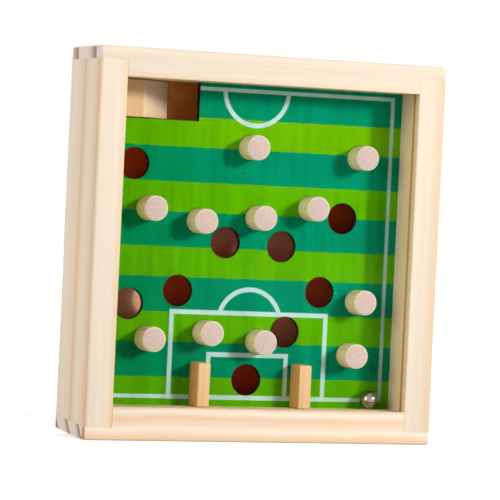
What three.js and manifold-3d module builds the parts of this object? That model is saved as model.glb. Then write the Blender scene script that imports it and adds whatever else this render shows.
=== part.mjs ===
import * as THREE from "three";
import { mergeVertices } from "three/addons/utils/BufferGeometryUtils.js";
import { RoundedBoxGeometry } from "three/addons/geometries/RoundedBoxGeometry.js";
import Module from "manifold-3d";

const wasm = await Module();
wasm.setup();

// A wooden ball-in-a-box football puzzle, in millimetres, standing on its bottom rail.
// The origin is at the middle of the bottom rail's underside. +X is the player's right,
// +Z is up, and the window faces -Y.

// Driving dimensions of the frame
const frameWidth = 120;
const frameHeight = 123.4;
const frameDepth = 27;
const railWidth = 9.3;
const bottomRailWidth = 10.6;
const lapThickness = 4;
const edgeRadius = 1.3;
const innerArris = 0.4;
const glueLine = 0.1;

// Sheets that the frame holds, and where each lies behind the front of the frame
const windowThickness = 2;
const windowSetback = 3;
const boardThickness = 2;
const boardSetback = 13.8;
const panelThickness = 2.5;
const panelInset = 1;
const grooveDepth = 3;
const rebateWidth = 4;
const sheetSlip = 0.2;
const sheetExpansion = 0.4;

// Pegs, posts, holes and ball
const pegDiameter = 8;
const pegWindowGap = 1.4;
const pegChamfer = 0.5;
const pegFit = 0.15;
const ballHoleDiameter = 10;
const holeWeb = 1;
const ballDiameter = 6;
const ballClearance = 0.2;
const ballFromWall = 8.5;
const postWidth = 4.4;
const postLength = 14;
const postWindowGap = 1.3;
const postArris = 0.35;
const postSpacing = 35.3;
const goalOffset = 0.4;

// Notch in the board's corner, and the ramp that fills it
const notchWidth = 29.7;
const notchHeight = 12.5;
const rampLanding = 10.3;
const rampRun = 11.6;
const rampToe = 0.6;
const rampClearance = 0.3;

// How finely round shapes are cut
const pegSides = 36;
const holeSides = 40;
const ballSides = 32;
const roundSteps = 3;

// Places on the board: across, as a share of the half width inside the rails,
// and up, as a share of the height inside them
const pegPlaceShares = [
  [-0.052, 0.806],
  [0.709, 0.791],
  [-0.727, 0.605],
  [-0.385, 0.572],
  [0.017, 0.589],
  [0.379, 0.625],
  [0.74, 0.337],
  [-0.702, 0.204],
  [-0.311, 0.227],
  [0.055, 0.203],
  [0.696, 0.168],
];
const holePlaceShares = [
  [0.612, 0.598],
  [-0.193, 0.508],
  [0.194, 0.502],
  [-0.504, 0.354],
  [0.476, 0.363],
  [-0.834, 0.74],
  [-0.833, 0.31],
];

// The hole in front of the goal is on the goal's own middle line, this far up
const goalHoleShare = 0.083;

// The tenth peg stands right beside a ball hole, which lies this way from it
const besidePegIndex = 9;
const besidePegShares = [0.945, 0.326];

// Worked out from the driving dimensions
const insideWidth = frameWidth - 2 * railWidth;
const insideHeight = frameHeight - railWidth - bottomRailWidth;
const insideHalf = insideWidth / 2;
const insideBottom = bottomRailWidth;
const insideTop = frameHeight - railWidth;
const frontY = -frameDepth / 2;
const backY = frameDepth / 2;
const windowFrontY = frontY + windowSetback;
const boardFrontY = frontY + boardSetback;
const boardBackY = boardFrontY + boardThickness;
const panelFrontY = backY - panelInset - panelThickness;
const pegRadius = pegDiameter / 2;
const holeRadius = ballHoleDiameter / 2;
const ballRadius = ballDiameter / 2;
const playDepth = boardSetback - windowSetback - windowThickness;
const pegHeight = playDepth - pegWindowGap;
const postHeight = playDepth - glueLine - postWindowGap;
const goalX = -goalOffset;
const middleZ = insideBottom + insideHeight / 2;

const pine = new THREE.MeshStandardMaterial({ color: 0xf0dcbc, roughness: 0.6, metalness: 0 });
const dowelBirch = new THREE.MeshStandardMaterial({ color: 0xe6cfb0, roughness: 0.6, metalness: 0 });
const postBeech = new THREE.MeshStandardMaterial({ color: 0xdcae70, roughness: 0.55, metalness: 0 });
const printedPlywood = new THREE.MeshStandardMaterial({ color: 0x2f9a4a, roughness: 0.6, metalness: 0 });
const hardboard = new THREE.MeshStandardMaterial({ color: 0x5c2c18, roughness: 0.35, metalness: 0 });
const acrylic = new THREE.MeshStandardMaterial({
  color: 0xf2f7f8, roughness: 0.05, metalness: 0, transparent: true, opacity: 0.25,
});
const steel = new THREE.MeshStandardMaterial({ color: 0xb9bcc0, roughness: 0.15, metalness: 1 });

function toSolid(geometry) {
  const bare = geometry.index ? geometry.toNonIndexed() : geometry.clone();
  for (const name of Object.keys(bare.attributes)) {
    if (name !== "position") bare.deleteAttribute(name);
  }
  const merged = mergeVertices(bare);
  return new wasm.Manifold(new wasm.Mesh({
    numProp: 3,
    vertProperties: new Float32Array(merged.attributes.position.array),
    triVerts: new Uint32Array(merged.index.array),
  }));
}

function toGeometry(solid) {
  const mesh = solid.getMesh();
  const geometry = new THREE.BufferGeometry();
  geometry.setAttribute("position", new THREE.BufferAttribute(mesh.vertProperties, 3));
  geometry.setIndex(new THREE.BufferAttribute(mesh.triVerts, 1));
  geometry.computeVertexNormals();
  return geometry;
}

function piece(name, geometry, material, x = 0, y = 0, z = 0) {
  const mesh = new THREE.Mesh(geometry, material);
  mesh.name = name;
  mesh.position.set(x, y, z);
  return mesh;
}

// A slot across the inner face of a rail, from one depth to another
function grooveSteps(outline, startY, endY) {
  outline.lineTo(0, startY);
  outline.lineTo(grooveDepth, startY);
  outline.lineTo(grooveDepth, endY);
  outline.lineTo(0, endY);
}

// A rail's section: x is the distance out from its inner face, y is depth
function railSection(width) {
  const outline = new THREE.Shape();
  outline.moveTo(innerArris, frontY);
  outline.lineTo(width, frontY);
  outline.lineTo(width, backY);
  outline.lineTo(rebateWidth, backY);
  outline.lineTo(rebateWidth, panelFrontY - sheetSlip);
  outline.lineTo(0, panelFrontY - sheetSlip);
  grooveSteps(outline, boardBackY + sheetSlip, boardFrontY - sheetSlip);
  grooveSteps(outline, windowFrontY + windowThickness + sheetSlip, windowFrontY - sheetSlip);
  outline.lineTo(0, frontY + innerArris);
  outline.closePath();
  return outline;
}

// The whole frame's block with its edges sanded round, seen from one rail's inner face
function sandedBlock(width, acrossRail, alongRail) {
  const block = new RoundedBoxGeometry(acrossRail, frameDepth, alongRail, roundSteps, edgeRadius);
  block.translate(width - acrossRail / 2, 0, 0);
  return toSolid(block);
}

// A bar of the rail's section, centred along z
function railBar(width, length) {
  const bar = new THREE.ExtrudeGeometry(railSection(width), { depth: length, bevelEnabled: false });
  bar.translate(0, 0, -length / 2);
  return toSolid(bar);
}

// A side rail is plain at its ends and stands between the laps of the cross rails
function sideRailGeometry() {
  const length = frameHeight - 2 * (lapThickness + glueLine);
  return toGeometry(railBar(railWidth, length).intersect(sandedBlock(railWidth, frameWidth, frameHeight)));
}

// A cross rail keeps only its outer lap past the inner faces of the side rails
function crossRailGeometry(width) {
  const cutDepth = width - lapThickness;
  const cutLength = railWidth + glueLine;
  let rail = railBar(width, frameWidth).intersect(sandedBlock(width, frameHeight, frameWidth));
  for (const end of [-1, 1]) {
    const cut = new THREE.BoxGeometry(2 * cutDepth, 2 * frameDepth, 2 * cutLength);
    cut.translate(0, 0, (end * frameWidth) / 2);
    rail = rail.subtract(toSolid(cut));
  }
  return toGeometry(rail);
}

function turned(mesh, angle) {
  mesh.rotation.y = angle;
  return mesh;
}

function frameRails() {
  const rails = new THREE.Group();
  const quarterTurn = Math.PI / 2;
  const topRail = crossRailGeometry(railWidth);
  const bottomRail = crossRailGeometry(bottomRailWidth);
  rails.add(turned(piece("rail_top", topRail, pine, 0, 0, insideTop), -quarterTurn));
  rails.add(turned(piece("rail_bottom", bottomRail, pine, 0, 0, insideBottom), quarterTurn));
  rails.add(piece("rail_right", sideRailGeometry(), pine, insideHalf, 0, frameHeight / 2));
  rails.add(turned(piece("rail_left", sideRailGeometry(), pine, -insideHalf, 0, frameHeight / 2), Math.PI));
  return rails;
}

// How far a sheet reaches past the inner faces of the rails
function sheetReach(seatDepth) {
  return seatDepth - sheetExpansion;
}

function sheetGeometry(seatDepth, thickness) {
  const reach = sheetReach(seatDepth);
  return new THREE.BoxGeometry(insideWidth + 2 * reach, thickness, insideHeight + 2 * reach);
}

function boardPlace([acrossShare, upShare]) {
  return new THREE.Vector2(acrossShare * insideHalf, insideBottom + upShare * insideHeight);
}

const pegPlaces = pegPlaceShares.map(boardPlace);
const goalHole = new THREE.Vector2(goalX, insideBottom + goalHoleShare * insideHeight);
const besideHole = pegPlaces[besidePegIndex].clone().addScaledVector(
  new THREE.Vector2(...besidePegShares).normalize(),
  pegRadius + pegFit + holeWeb + holeRadius,
);
const holePlaces = [...holePlaceShares.map(boardPlace), goalHole, besideHole];

function roundHole(centre, radius, sides) {
  const hole = new THREE.Path();
  for (let i = 0; i < sides; i++) {
    const angle = (-2 * Math.PI * i) / sides;
    const x = centre.x + radius * Math.cos(angle);
    const z = centre.y + radius * Math.sin(angle);
    if (i === 0) hole.moveTo(x, z);
    else hole.lineTo(x, z);
  }
  hole.closePath();
  return hole;
}

// The board's outline is drawn in x and z and extruded back from its printed face
function playBoard() {
  const reach = sheetReach(grooveDepth);
  const right = insideHalf + reach;
  const notchRight = -insideHalf + notchWidth;
  const notchBottom = insideTop - notchHeight;
  const outline = new THREE.Shape();
  outline.moveTo(-right, insideBottom - reach);
  outline.lineTo(right, insideBottom - reach);
  outline.lineTo(right, insideTop + reach);
  outline.lineTo(notchRight, insideTop + reach);
  outline.lineTo(notchRight, notchBottom);
  outline.lineTo(-right, notchBottom);
  outline.closePath();
  for (const place of holePlaces) outline.holes.push(roundHole(place, holeRadius, holeSides));
  for (const place of pegPlaces) outline.holes.push(roundHole(place, pegRadius + pegFit, pegSides));
  const geometry = new THREE.ExtrudeGeometry(outline, { depth: boardThickness, bevelEnabled: false });
  geometry.rotateX(Math.PI / 2);
  return piece("play_board", geometry, printedPlywood, 0, boardBackY, 0);
}

// A dowel through the board, flush with its back, with a chamfered front end
function peg(place, index) {
  const length = boardThickness + pegHeight;
  const profile = [
    new THREE.Vector2(0, 0),
    new THREE.Vector2(pegRadius, 0),
    new THREE.Vector2(pegRadius, length - pegChamfer),
    new THREE.Vector2(pegRadius - pegChamfer, length),
    new THREE.Vector2(0, length),
  ];
  const geometry = new THREE.LatheGeometry(profile, pegSides);
  geometry.rotateY(-Math.PI / 2);
  geometry.rotateX(Math.PI);
  const number = String(index + 1).padStart(2, "0");
  return piece("peg_" + number, geometry, dowelBirch, place.x, boardBackY, place.y);
}

function pegs() {
  const team = new THREE.Group();
  pegPlaces.forEach((place, index) => team.add(peg(place, index)));
  return team;
}

function goalPost(name, x) {
  const geometry = new RoundedBoxGeometry(postWidth, postHeight, postLength, roundSteps, postArris);
  const y = boardFrontY - glueLine - postHeight / 2;
  const z = insideBottom + glueLine + postLength / 2;
  return piece(name, geometry, postBeech, x, y, z);
}

function goal() {
  const posts = new THREE.Group();
  posts.add(goalPost("goal_post_left", goalX - postSpacing / 2));
  posts.add(goalPost("goal_post_right", goalX + postSpacing / 2));
  return posts;
}

// The ramp stands on the back panel inside the notch, with its landing level with the board
function returnRamp() {
  const height = panelFrontY - glueLine - boardFrontY;
  const outline = new THREE.Shape();
  outline.moveTo(0, 0);
  outline.lineTo(rampLanding + rampRun, 0);
  outline.lineTo(rampLanding + rampRun, rampToe);
  outline.lineTo(rampLanding, height);
  outline.lineTo(0, height);
  outline.closePath();
  const length = notchHeight - 2 * rampClearance;
  const geometry = new THREE.ExtrudeGeometry(outline, { depth: length, bevelEnabled: false });
  geometry.rotateX(Math.PI);
  geometry.translate(0, 0, length);
  const x = -insideHalf + rampClearance;
  const z = insideTop - rampClearance - length;
  return piece("return_ramp", geometry, pine, x, panelFrontY - glueLine, z);
}

function steelBall() {
  const geometry = new THREE.SphereGeometry(ballRadius, ballSides, ballSides / 2);
  const x = insideHalf - ballFromWall;
  const y = boardFrontY - ballClearance - ballRadius;
  const z = insideBottom + ballClearance + ballRadius;
  return piece("steel_ball", geometry, steel, x, y, z);
}

const game = new THREE.Group();
game.add(frameRails());
game.add(piece("window", sheetGeometry(grooveDepth, windowThickness), acrylic,
  0, windowFrontY + windowThickness / 2, middleZ));
game.add(playBoard());
game.add(piece("back_panel", sheetGeometry(rebateWidth, panelThickness), hardboard,
  0, panelFrontY + panelThickness / 2, middleZ));
game.add(pegs());
game.add(goal());
game.add(returnRamp());
game.add(steelBall());

export default game;
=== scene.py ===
"""The marble maze game dressed for rendering: a wooden tilt puzzle with a printed football pitch.

Everything is in metres and in the frame's own axes: +X to the player's right, +Z up, and the
window faces -Y. Each sub-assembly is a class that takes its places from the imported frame.
"""

import logging
import math
from collections.abc import Callable, Iterable, Iterator, Sequence
from contextlib import contextmanager
from dataclasses import dataclass
from enum import Enum

import bmesh
import bpy
from mathutils import Matrix, Vector

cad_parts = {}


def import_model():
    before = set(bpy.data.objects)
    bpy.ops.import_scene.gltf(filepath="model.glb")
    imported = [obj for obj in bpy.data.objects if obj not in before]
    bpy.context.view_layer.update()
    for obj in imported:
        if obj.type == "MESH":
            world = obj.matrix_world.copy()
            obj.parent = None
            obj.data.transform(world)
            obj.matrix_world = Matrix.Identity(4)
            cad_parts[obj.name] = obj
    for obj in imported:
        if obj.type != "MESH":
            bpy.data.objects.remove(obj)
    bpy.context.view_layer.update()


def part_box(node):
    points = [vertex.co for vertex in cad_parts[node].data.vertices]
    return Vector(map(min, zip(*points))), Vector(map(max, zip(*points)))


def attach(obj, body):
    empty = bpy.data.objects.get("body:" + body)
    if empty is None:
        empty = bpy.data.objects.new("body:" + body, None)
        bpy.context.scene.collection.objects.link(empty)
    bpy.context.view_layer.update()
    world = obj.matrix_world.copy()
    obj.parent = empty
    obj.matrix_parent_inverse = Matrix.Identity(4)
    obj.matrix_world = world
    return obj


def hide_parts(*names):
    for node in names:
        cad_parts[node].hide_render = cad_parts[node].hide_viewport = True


log = logging.getLogger("marble_maze")

Colour = tuple[float, float, float, float]
Stops = tuple[tuple[float, Colour], ...]
Tones = tuple[Colour, Colour, Colour, Colour]
Piece = bpy.types.Object
Material = bpy.types.Material
Node = bpy.types.Node
Socket = bpy.types.NodeSocket

MM = 0.001
OVERCUT = 5 * MM
SAME_PLACE = 0.01 * MM
WELD = 0.001 * MM
FLAT_ON = 0.9
INK_BLEED = 0.08 * MM
PINK_TINT: Colour = (1.0, 0.93, 0.9, 1.0)
WHITE: Colour = (1.0, 1.0, 1.0, 1.0)
PEG_NODES = tuple(f"peg_{number:02d}" for number in range(1, 12))


class Axis(Enum):
    """An axis of the frame, with the order in which a grain vector takes X, Y and Z."""

    X = ("Y", "Z", "X")
    Y = ("X", "Z", "Y")
    Z = ("X", "Y", "Z")

    @property
    def index(self) -> int:
        """The axis' place in a vector."""
        return "XYZ".index(self.value[2])


class Side(Enum):
    """Which way a rail's outer face looks, as an axis and a sign."""

    LEFT = (Axis.X, -1)
    RIGHT = (Axis.X, 1)
    BOTTOM = (Axis.Z, -1)
    TOP = (Axis.Z, 1)


def srgb(red: int, green: int, blue: int) -> Colour:
    """Turns a colour as a screen shows it, 0 to 255, into the linear colour that shaders use.

    Args:
        red: Red level.
        green: Green level.
        blue: Blue level.

    Returns:
        The linear colour with an alpha of 1.
    """
    parts = [level / 255 for level in (red, green, blue)]
    linear = [p / 12.92 if p <= 0.04045 else ((p + 0.055) / 1.055) ** 2.4 for p in parts]
    return (*linear, 1.0)


def deselect() -> None:
    """Leaves no object selected, so that an operator acts on the next piece alone."""
    bpy.ops.object.select_all(action="DESELECT")


def pick(obj: Piece) -> None:
    """Selects one object and makes it active.

    Args:
        obj: The object.
    """
    deselect()
    obj.select_set(True)
    bpy.context.view_layer.objects.active = obj


def settle(obj: Piece) -> None:
    """Moves an object's place, turn and scale into its mesh."""
    pick(obj)
    bpy.ops.object.transform_apply(location=True, rotation=True, scale=True)


def add_block(name: str, low: Vector, high: Vector) -> Piece:
    """Adds a block between two corners.

    Args:
        name: The object's name.
        low: Lowest corner.
        high: Highest corner.

    Returns:
        The block, with its place in its mesh.
    """
    deselect()
    bpy.ops.mesh.primitive_cube_add(size=1, location=(low + high) / 2)
    block = bpy.context.object
    block.name = name
    block.scale = high - low
    settle(block)
    return block


def add_rod(name: str, centre: Vector, radius: float, length: float, sides: int) -> Piece:
    """Adds a round rod along Y.

    Args:
        name: The object's name.
        centre: Middle of the rod.
        radius: The rod's radius.
        length: The rod's length along Y.
        sides: How many flat faces make the round.

    Returns:
        The rod, with its place in its mesh.
    """
    deselect()
    bpy.ops.mesh.primitive_cylinder_add(
        vertices=sides, radius=radius, depth=length, location=centre, rotation=(math.pi / 2, 0, 0)
    )
    rod = bpy.context.object
    rod.name = name
    settle(rod)
    return rod


def reshape(piece: Piece, kind: str, **settings: object) -> None:
    """Adds a modifier to a piece and applies it at once.

    Args:
        piece: The object to shape.
        kind: The modifier's type.
        **settings: Properties of the modifier.
    """
    pick(piece)
    modifier = piece.modifiers.new(kind.lower(), kind)
    for name, value in settings.items():
        setattr(modifier, name, value)
    bpy.ops.object.modifier_apply(modifier=modifier.name)


def cut_away(piece: Piece, cutter: Piece) -> None:
    """Cuts one object's shape out of another and deletes the cutter."""
    reshape(piece, "BOOLEAN", operation="DIFFERENCE", solver="EXACT", object=cutter)
    bpy.data.objects.remove(cutter, do_unlink=True)


@contextmanager
def editing(piece: Piece, select: str) -> Iterator[None]:
    """Opens a piece in edit mode with all or none of it selected, and closes it again.

    Args:
        piece: The object to shape.
        select: The selection's name, SELECT or DESELECT.

    Yields:
        Nothing, while the piece is open.
    """
    pick(piece)
    bpy.ops.object.mode_set(mode="EDIT")
    bpy.ops.mesh.select_mode(type="EDGE")
    bpy.ops.mesh.select_all(action=select)
    yield
    bpy.ops.object.mode_set(mode="OBJECT")


def slice_off(piece: Piece, point: Vector, toward: Vector) -> None:
    """Cuts a closed piece by the plane through a point and drops the part that the normal looks at."""
    with editing(piece, "SELECT"):
        bpy.ops.mesh.bisect(plane_co=point, plane_no=toward, use_fill=True, clear_outer=True, threshold=WELD)


def join(pieces: Sequence[Piece]) -> Piece:
    """Joins several objects into the first one.

    Args:
        pieces: The objects.

    Returns:
        The first object, which holds them all.
    """
    deselect()
    for piece in pieces:
        piece.select_set(True)
    bpy.context.view_layer.objects.active = pieces[0]
    bpy.ops.object.join()
    return pieces[0]


def round_edges(
    piece: Piece, wanted: Callable[[Vector, Vector], bool], radius: float, steps: int
) -> None:
    """Rounds the edges that a test picks by their two ends.

    Args:
        piece: The object to shape.
        wanted: Says whether an edge between two points is rounded.
        radius: How far the rounding reaches from the edge.
        steps: How many strips make the round.
    """
    with editing(piece, "DESELECT"):
        shape = bmesh.from_edit_mesh(piece.data)
        for edge in shape.edges:
            if wanted(edge.verts[0].co, edge.verts[1].co):
                edge.select_set(True)
        bmesh.update_edit_mesh(piece.data)
        bpy.ops.mesh.bevel(offset=radius, segments=steps, affect="EDGES")


def ease_corners(piece: Piece, width: float, steps: int = 2, limit: float = 40) -> None:
    """Breaks every edge sharper than a limit in degrees to a width, in so many steps, as sanding does."""
    reshape(piece, "BEVEL", width=width, segments=steps, limit_method="ANGLE",
            angle_limit=math.radians(limit), use_clamp_overlap=True)


def keep_inside(piece: Piece, low: Vector, high: Vector) -> None:
    """Moves corners that rounding pushed out of a box by a hair back onto it."""
    for corner in piece.data.vertices:
        corner.co = [max(least, min(value, most)) for least, value, most in zip(low, corner.co, high)]


def shade(piece: Piece, angle: float = 30) -> None:
    """Shades a piece smooth where its faces meet at less than an angle in degrees."""
    pick(piece)
    bpy.ops.object.shade_smooth_by_angle(angle=math.radians(angle))


def number_faces(piece: Piece, choose: Callable[[Vector], int]) -> None:
    """Gives each face the number of the material that a rule picks by its normal."""
    for face in piece.data.polygons:
        face.material_index = choose(face.normal)


def same(a: float, b: float) -> bool:
    """Says whether two lengths are the same to a hundredth of a millimetre."""
    return abs(a - b) < SAME_PLACE


def fit(piece: Piece, node: str, materials: Iterable[Material]) -> None:
    """Dresses a finished piece and puts it in the place of its CAD node.

    Args:
        piece: The finished piece.
        node: The CAD node that it stands for.
        materials: The piece's materials, in the order of its faces' numbers.
    """
    piece.name = node + "_dressed"
    for material in materials:
        piece.data.materials.append(material)
    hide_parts(node)
    body = "ball" if node == "steel_ball" else "case"
    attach(piece, body)
    log.info("%s: %d faces, rides on %s", piece.name, len(piece.data.polygons), body)


class Sheet:
    """A node tree being written, with short calls for the nodes that the finishes use."""

    def __init__(self, tree: bpy.types.NodeTree) -> None:
        """Starts writing on an empty tree."""
        self.tree = tree

    def add(self, kind: str, **settings: object) -> Node:
        """Adds a node and sets its properties.

        Args:
            kind: The node's type name without its ShaderNode prefix.
            **settings: Properties of the node.

        Returns:
            The node.
        """
        node = self.tree.nodes.new("ShaderNode" + kind)
        for name, value in settings.items():
            setattr(node, name, value)
        return node

    def feed(self, socket: Socket, value: object) -> None:
        """Links an output to a socket, or sets the socket to a plain value.

        Args:
            socket: The input that is fed.
            value: Another node's output, or the plain value.
        """
        if isinstance(value, Socket):
            self.tree.links.new(value, socket)
        else:
            socket.default_value = value

    def fill(self, node: Node, **inputs: object) -> None:
        """Feeds a node's inputs by their names, with underscores for spaces."""
        for name, value in inputs.items():
            self.feed(node.inputs[name.replace("_", " ")], value)

    def maths(self, operation: str, *values: object, clamp: bool = False) -> Socket:
        """Adds a Math node.

        Args:
            operation: The node's operation.
            *values: Its inputs, as outputs of other nodes or plain numbers.
            clamp: Whether the result is kept from 0 to 1.

        Returns:
            The result.
        """
        node = self.add("Math", operation=operation, use_clamp=clamp)
        for socket, value in zip(node.inputs, values):
            self.feed(socket, value)
        return node.outputs[0]

    def times(self, first: object, second: object) -> Socket:
        """One value times another."""
        return self.maths("MULTIPLY", first, second)

    def plus(self, first: object, second: object) -> Socket:
        """One value plus another."""
        return self.maths("ADD", first, second)

    def minus(self, first: object, second: object) -> Socket:
        """One value less another."""
        return self.maths("SUBTRACT", first, second)

    def scaled(self, value: object, factor: object, start: object) -> Socket:
        """A value times a factor, counted up from a start."""
        return self.maths("MULTIPLY_ADD", value, factor, start)

    def reach(self, across: Socket, up: Socket) -> Socket:
        """How far a point lies from another, given its two distances at a right angle."""
        return self.maths("SQRT", self.plus(self.times(across, across), self.times(up, up)))

    def step(self, value: object, start: float, end: float, low: float = 0, high: float = 1) -> Socket:
        """Adds a smooth step.

        Args:
            value: What the step follows.
            start: Where the step leaves low.
            end: Where it arrives at high.
            low: The result before start.
            high: The result after end.

        Returns:
            The result.
        """
        node = self.add("MapRange", interpolation_type="SMOOTHSTEP")
        self.fill(node, Value=value, From_Min=start, From_Max=end, To_Min=low, To_Max=high)
        return node.outputs["Result"]

    def mix(self, share: object, first: object, second: object, blend: str = "MIX") -> Socket:
        """Mixes two colours.

        Args:
            share: How much of the second shows.
            first: The colour at a share of 0.
            second: The colour at a share of 1.
            blend: How the second is laid on the first.

        Returns:
            The mixed colour.
        """
        node = self.add("Mix", data_type="RGBA", blend_type=blend)
        for place, value in ((0, share), (6, first), (7, second)):
            self.feed(node.inputs[place], value)
        return node.outputs[2]

    def shaded(self, colour: Socket, level: Socket) -> Socket:
        """Darkens a colour.

        Args:
            colour: The colour.
            level: How bright it stays, from 0 to 1.

        Returns:
            The darkened colour.
        """
        grey = self.add("CombineColor")
        for socket in grey.inputs[:3]:
            self.feed(socket, level)
        return self.mix(1.0, colour, grey.outputs[0], "MULTIPLY")

    def noise(self, vector: Socket, scale: float, detail: float = 2, roughness: float = 0.5) -> Socket:
        """Adds a noise texture.

        Args:
            vector: The point.
            scale: How many patches one metre holds.
            detail: How many finer layers are added.
            roughness: How strong those layers are.

        Returns:
            The noise, from 0 to 1.
        """
        node = self.add("TexNoise")
        self.fill(node, Vector=vector, Scale=scale, Detail=detail, Roughness=roughness)
        return node.outputs["Fac"]

    def stretch(self, vector: Socket, factors: Sequence[float]) -> Socket:
        """Multiplies a vector's X, Y and Z by their own factors.

        Args:
            vector: The vector.
            factors: The three factors.

        Returns:
            The stretched vector.
        """
        node = self.add("Mapping")
        self.fill(node, Vector=vector, Scale=factors)
        return node.outputs["Vector"]

    def enlarge(self, vector: Socket, factor: Socket) -> Socket:
        """Multiplies a whole vector by one factor.

        Args:
            vector: The vector.
            factor: The factor.

        Returns:
            The longer or shorter vector.
        """
        node = self.add("VectorMath", operation="SCALE")
        self.fill(node, Vector=vector, Scale=factor)
        return node.outputs[0]

    def split(self, vector: Socket) -> tuple[Socket, Socket, Socket]:
        """Splits a vector.

        Args:
            vector: The vector.

        Returns:
            Its X, Y and Z.
        """
        node = self.add("SeparateXYZ")
        self.feed(node.inputs[0], vector)
        return tuple(node.outputs)

    def group(self, effect: str, **inputs: object) -> Node:
        """Places a shared node group and fills its inputs.

        Args:
            effect: The group's name.
            **inputs: Values or outputs by input name, with underscores for spaces.

        Returns:
            The group's node.
        """
        node = self.add("Group", node_tree=bpy.data.node_groups[effect])
        self.fill(node, **inputs)
        return node

    def mottle(self, vector: Socket, patch: float) -> Socket:
        """Soft, uneven patches of a size, from 0 to 1."""
        return self.group("mottle", Vector=vector, Patch=patch).outputs["Value"]

    def facing(self, axis: Axis) -> Socket:
        """How far a face looks along an axis, from -1 to 1."""
        return self.split(self.add("NewGeometry").outputs["Normal"])[axis.index]

    def place(self) -> Socket:
        """The point on the object, in metres."""
        return self.add("TexCoord").outputs["Object"]

    def grain_place(self, axis: Axis) -> Socket:
        """Turns the point on the object so that the grain runs along Z.

        Args:
            axis: The axis along which the grain runs.

        Returns:
            The turned point.
        """
        parts = dict(zip("XYZ", self.split(self.place())))
        node = self.add("CombineXYZ")
        for socket, letter in zip(node.inputs, axis.value):
            self.feed(socket, parts[letter])
        return node.outputs[0]

    def end_mask(self, axis: Axis) -> Socket:
        """How far a face looks along an axis: 1 on end grain and 0 along the grain."""
        return self.step(self.maths("ABSOLUTE", self.facing(axis)), 0.7, 0.95)


def new_group(name: str, inputs: dict[str, object], outputs: dict[str, str]) -> tuple[Sheet, Socket, Socket]:
    """Starts a shader node group.

    Args:
        name: The group's name.
        inputs: Each input's name and its default, where None stands for a vector.
        outputs: Each output's name and its socket type.

    Returns:
        The group's sheet, its input node's outputs and its output node's inputs.
    """
    tree = bpy.data.node_groups.new(name, "ShaderNodeTree")
    for label, default in inputs.items():
        kind = "NodeSocketVector" if default is None else "NodeSocketFloat"
        socket = tree.interface.new_socket(label, in_out="INPUT", socket_type=kind)
        if default is not None:
            socket.default_value = default
    for label, kind in outputs.items():
        tree.interface.new_socket(label, in_out="OUTPUT", socket_type=kind)
    start = tree.nodes.new("NodeGroupInput")
    end = tree.nodes.new("NodeGroupOutput")
    return Sheet(tree), start.outputs, end.inputs


def growth_rings_group() -> None:
    """Makes the group that draws a tree's growth rings round a pith.

    Its Latewood is 0 in the pale early wood and rises to 1 at each ring's dark end.
    """
    inputs = {"Vector": None, "Pith X": 0.0, "Pith Y": 0.0, "Ring Width": 0.007, "Wander": 0.002}
    sheet, given, out = new_group("growth rings", inputs, {"Latewood": "NodeSocketFloat"})
    x, y, _ = sheet.split(given["Vector"])
    radius = sheet.reach(sheet.minus(x, given["Pith X"]), sheet.minus(y, given["Pith Y"]))
    for factors, wander in (((40, 40, 9), given["Wander"]), ((500, 500, 40), 0.9 * MM)):
        drift = sheet.minus(sheet.noise(sheet.stretch(given["Vector"], factors), 1), 0.5)
        radius = sheet.scaled(drift, wander, radius)
    phase = sheet.maths("FRACT", sheet.maths("DIVIDE", radius, given["Ring Width"]))
    rise = sheet.maths("POWER", sheet.step(phase, 0.3, 0.93), 2.2)
    fall = sheet.step(phase, 0.94, 1.0, 1, 0)
    sheet.feed(out["Latewood"], sheet.times(rise, fall))


def wood_fibre_group() -> None:
    """Makes the group that draws fine fibres along the vector's Z.

    Its Fibre is a fine streak, its Streak a broad one, and its Height is for a bump.
    """
    inputs = {"Vector": None, "Fineness": 1.0}
    outputs = {"Fibre": "NodeSocketFloat", "Streak": "NodeSocketFloat", "Height": "NodeSocketFloat"}
    sheet, given, out = new_group("wood fibre", inputs, outputs)
    vector = sheet.enlarge(given["Vector"], given["Fineness"])
    fibre = sheet.noise(sheet.stretch(vector, (3600, 3600, 110)), 1, 3, 0.6)
    streak = sheet.noise(sheet.stretch(vector, (620, 620, 14)), 1, 3, 0.6)
    pore = sheet.step(sheet.noise(sheet.stretch(vector, (2400, 2400, 150)), 1, 1), 0.62, 0.72)
    sheet.feed(out["Fibre"], sheet.step(fibre, 0.3, 0.7))
    sheet.feed(out["Streak"], sheet.step(streak, 0.32, 0.68))
    sheet.feed(out["Height"], sheet.scaled(pore, -0.6, fibre))


def mottle_group() -> None:
    """Makes the group that gives soft, uneven patches of a size, from 0 to 1."""
    sheet, given, out = new_group("mottle", {"Vector": None, "Patch": 0.02}, {"Value": "NodeSocketFloat"})
    patches = sheet.noise(sheet.enlarge(given["Vector"], sheet.maths("DIVIDE", 1, given["Patch"])), 1, 3)
    sheet.feed(out["Value"], sheet.step(patches, 0.3, 0.7))


def ink_line(sheet: Sheet, off: Socket, line: Socket) -> Socket:
    """Draws a line of a width, 1 on it and 0 off it, from how far a point lies off its middle."""
    return sheet.step(sheet.minus(sheet.times(line, 0.5), off), -INK_BLEED, INK_BLEED)


def box_line_group() -> None:
    """Makes the group that draws a printed rectangle's outline, where its Ink is 1."""
    inputs = {"X": 0.0, "Z": 0.0, "Middle X": 0.0, "Middle Z": 0.0,
              "Half Width": 0.01, "Half Height": 0.01, "Line": 0.0014}
    sheet, given, out = new_group("box line", inputs, {"Ink": "NodeSocketFloat"})
    past = [sheet.minus(sheet.maths("ABSOLUTE", sheet.minus(given[place], given[middle])), given[half])
            for place, middle, half in (("X", "Middle X", "Half Width"), ("Z", "Middle Z", "Half Height"))]
    off = sheet.maths("ABSOLUTE", sheet.maths("MAXIMUM", *past))
    sheet.feed(out["Ink"], ink_line(sheet, off, given["Line"]))


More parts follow.
